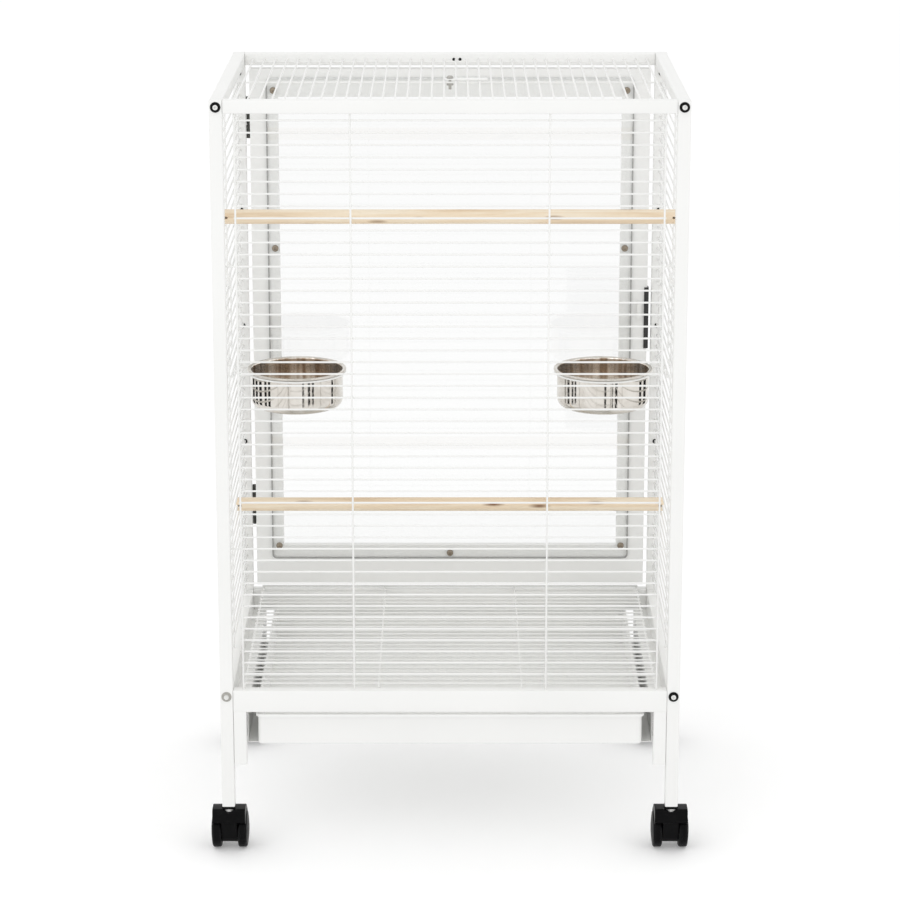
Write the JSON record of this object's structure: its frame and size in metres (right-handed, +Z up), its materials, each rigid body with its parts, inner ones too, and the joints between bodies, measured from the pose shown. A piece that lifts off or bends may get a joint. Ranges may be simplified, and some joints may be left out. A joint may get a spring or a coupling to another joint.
{
  "type": "bird cage",
  "caption": "Tall bird cage of square tube and welded wire on swivel casters, with an acrylic rear door, feeder doors, bowls, perches, floor grille and tray.",
  "frame": {"origin": "centre of the bounding box at floor level, under the casters", "axes": "+X to the cage's right in the picture, +Y from the pictured wire side to the door side, +Z up"},
  "size_m": [0.644, 0.464, 1.018],
  "materials": {
    "white_powder_coat": "satin white powder coat",
    "stainless_steel": "polished stainless steel",
    "zinc_bolt": "zinc plated",
    "black_metal": "satin black",
    "black_plastic": "satin moulded nylon",
    "black_tread": "moulded wheel",
    "clear_acrylic": "clear acrylic sheet",
    "pine": "bare pine with knots"
  },
  "bodies": {
    "cage": {"base_rail_front": "white_powder_coat", "base_rail_left": "white_powder_coat", "base_rail_rear": "white_powder_coat", "base_rail_right": "white_powder_coat", "bolt_front_left_base": "zinc_bolt", "bolt_front_left_top": "zinc_bolt", "bolt_front_right_base": "zinc_bolt", "bolt_front_right_top": "zinc_bolt", "bowl_ring_left": "white_powder_coat", "bowl_ring_right": "white_powder_coat", "caster_socket_front_left": "black_plastic", "caster_socket_front_right": "black_plastic", "caster_socket_rear_left": "black_plastic", "caster_socket_rear_right": "black_plastic", "front_panel": "white_powder_coat", "hinge_lower_fixed": "zinc_bolt", "hinge_upper_fixed": "zinc_bolt", "perch_lower": "pine", "perch_upper": "pine", "post_front_left": "white_powder_coat", "post_front_right": "white_powder_coat", "post_rear_left": "white_powder_coat", "post_rear_right": "white_powder_coat", "roof_bolt": "black_metal", "roof_panel": "white_powder_coat", "roof_plate": "white_powder_coat", "side_panel_left": "white_powder_coat", "side_panel_right": "white_powder_coat", "top_rail_front": "white_powder_coat", "top_rail_left": "white_powder_coat", "top_rail_rear": "white_powder_coat", "top_rail_right": "white_powder_coat"},
    "door": {"door_frame": "white_powder_coat", "acrylic_sheet": "clear_acrylic", "hinge_upper_moving": "zinc_bolt", "hinge_lower_moving": "zinc_bolt", "latch_plate": "black_metal"},
    "latch": {"latch_handle": "black_metal"},
    "grille": {"floor_grille": "white_powder_coat"},
    "tray": {"tray": "white_powder_coat"},
    "feeder_left": {"feeder_door_left": "white_powder_coat"},
    "bowl_left": {"bowl_left": "stainless_steel"},
    "feeder_right": {"feeder_door_right": "white_powder_coat"},
    "bowl_right": {"bowl_right": "stainless_steel"},
    "caster_front_left": {"caster_hood_front_left": "black_plastic"},
    "wheel_front_left_inner": {"wheel_front_left_inner": "black_tread"},
    "wheel_front_left_outer": {"wheel_front_left_outer": "black_tread"},
    "caster_front_right": {"caster_hood_front_right": "black_plastic"},
    "wheel_front_right_inner": {"wheel_front_right_inner": "black_tread"},
    "wheel_front_right_outer": {"wheel_front_right_outer": "black_tread"},
    "caster_rear_left": {"caster_hood_rear_left": "black_plastic"},
    "wheel_rear_left_inner": {"wheel_rear_left_inner": "black_tread"},
    "wheel_rear_left_outer": {"wheel_rear_left_outer": "black_tread"},
    "caster_rear_right": {"caster_hood_rear_right": "black_plastic"},
    "wheel_rear_right_inner": {"wheel_rear_right_inner": "black_tread"},
    "wheel_rear_right_outer": {"wheel_rear_right_outer": "black_tread"},
    "brake_front_left": {"brake_lever_front_left": "black_plastic"},
    "brake_front_right": {"brake_lever_front_right": "black_plastic"}
  },
  "joints": [
    {"name": "door_swing", "type": "hinge", "parent": "cage", "child": "door", "pos_m": [-0.28515, 0.2245, 0.617], "axis": [0, 0, 1], "range_deg": [0, 105]},
    {"name": "latch_turn", "type": "hinge", "parent": "door", "child": "latch", "pos_m": [0.2705, 0.2245, 0.638], "axis": [0, 1, 0], "range_deg": [0, 90]},
    {"name": "grille_slide", "type": "slide", "parent": "cage", "child": "grille", "axis": [0, 1, 0], "range_m": [0, 0.38]},
    {"name": "tray_slide", "type": "slide", "parent": "cage", "child": "tray", "axis": [0, 1, 0], "range_m": [0, 0.38]},
    {"name": "feeder_swing_left", "type": "hinge", "parent": "cage", "child": "feeder_left", "pos_m": [-0.2982, -0.0517, 0.69225], "axis": [0, 0, 1], "range_deg": [0, 100]},
    {"name": "bowl_lift_left", "type": "slide", "parent": "cage", "child": "bowl_left", "axis": [0, 0, 1], "range_m": [0, 0.07]},
    {"name": "feeder_swing_right", "type": "hinge", "parent": "cage", "child": "feeder_right", "pos_m": [0.2982, -0.0517, 0.69225], "axis": [0, 0, -1], "range_deg": [0, 100]},
    {"name": "bowl_lift_right", "type": "slide", "parent": "cage", "child": "bowl_right", "axis": [0, 0, 1], "range_m": [0, 0.07]},
    {"name": "caster_swivel_front_left", "type": "hinge", "parent": "cage", "child": "caster_front_left", "pos_m": [-0.2965, -0.22, 0.04], "axis": [0, 0, 1], "continuous": true},
    {"name": "wheel_spin_front_left_inner", "type": "hinge", "parent": "caster_front_left", "child": "wheel_front_left_inner", "pos_m": [-0.2965, -0.202, 0.025], "axis": [1, 0, 0], "continuous": true},
    {"name": "wheel_spin_front_left_outer", "type": "hinge", "parent": "caster_front_left", "child": "wheel_front_left_outer", "pos_m": [-0.2965, -0.202, 0.025], "axis": [1, 0, 0], "continuous": true},
    {"name": "brake_tip_front_left", "type": "hinge", "parent": "caster_front_left", "child": "brake_front_left", "pos_m": [-0.2965, -0.18608, 0.04268], "axis": [-1, 0, 0], "range_deg": [0, 15]},
    {"name": "caster_swivel_front_right", "type": "hinge", "parent": "cage", "child": "caster_front_right", "pos_m": [0.2965, -0.22, 0.04], "axis": [0, 0, 1], "continuous": true},
    {"name": "wheel_spin_front_right_inner", "type": "hinge", "parent": "caster_front_right", "child": "wheel_front_right_inner", "pos_m": [0.2965, -0.202, 0.025], "axis": [1, 0, 0], "continuous": true},
    {"name": "wheel_spin_front_right_outer", "type": "hinge", "parent": "caster_front_right", "child": "wheel_front_right_outer", "pos_m": [0.2965, -0.202, 0.025], "axis": [1, 0, 0], "continuous": true},
    {"name": "brake_tip_front_right", "type": "hinge", "parent": "caster_front_right", "child": "brake_front_right", "pos_m": [0.2965, -0.18608, 0.04268], "axis": [-1, 0, 0], "range_deg": [0, 15]},
    {"name": "caster_swivel_rear_left", "type": "hinge", "parent": "cage", "child": "caster_rear_left", "pos_m": [-0.2965, 0.22, 0.04], "axis": [0, 0, 1], "continuous": true},
    {"name": "wheel_spin_rear_left_inner", "type": "hinge", "parent": "caster_rear_left", "child": "wheel_rear_left_inner", "pos_m": [-0.2965, 0.202, 0.025], "axis": [1, 0, 0], "continuous": true},
    {"name": "wheel_spin_rear_left_outer", "type": "hinge", "parent": "caster_rear_left", "child": "wheel_rear_left_outer", "pos_m": [-0.2965, 0.202, 0.025], "axis": [1, 0, 0], "continuous": true},
    {"name": "caster_swivel_rear_right", "type": "hinge", "parent": "cage", "child": "caster_rear_right", "pos_m": [0.2965, 0.22, 0.04], "axis": [0, 0, 1], "continuous": true},
    {"name": "wheel_spin_rear_right_inner", "type": "hinge", "parent": "caster_rear_right", "child": "wheel_rear_right_inner", "pos_m": [0.2965, 0.202, 0.025], "axis": [1, 0, 0], "continuous": true},
    {"name": "wheel_spin_rear_right_outer", "type": "hinge", "parent": "caster_rear_right", "child": "wheel_rear_right_outer", "pos_m": [0.2965, 0.202, 0.025], "axis": [1, 0, 0], "continuous": true}
  ]
}
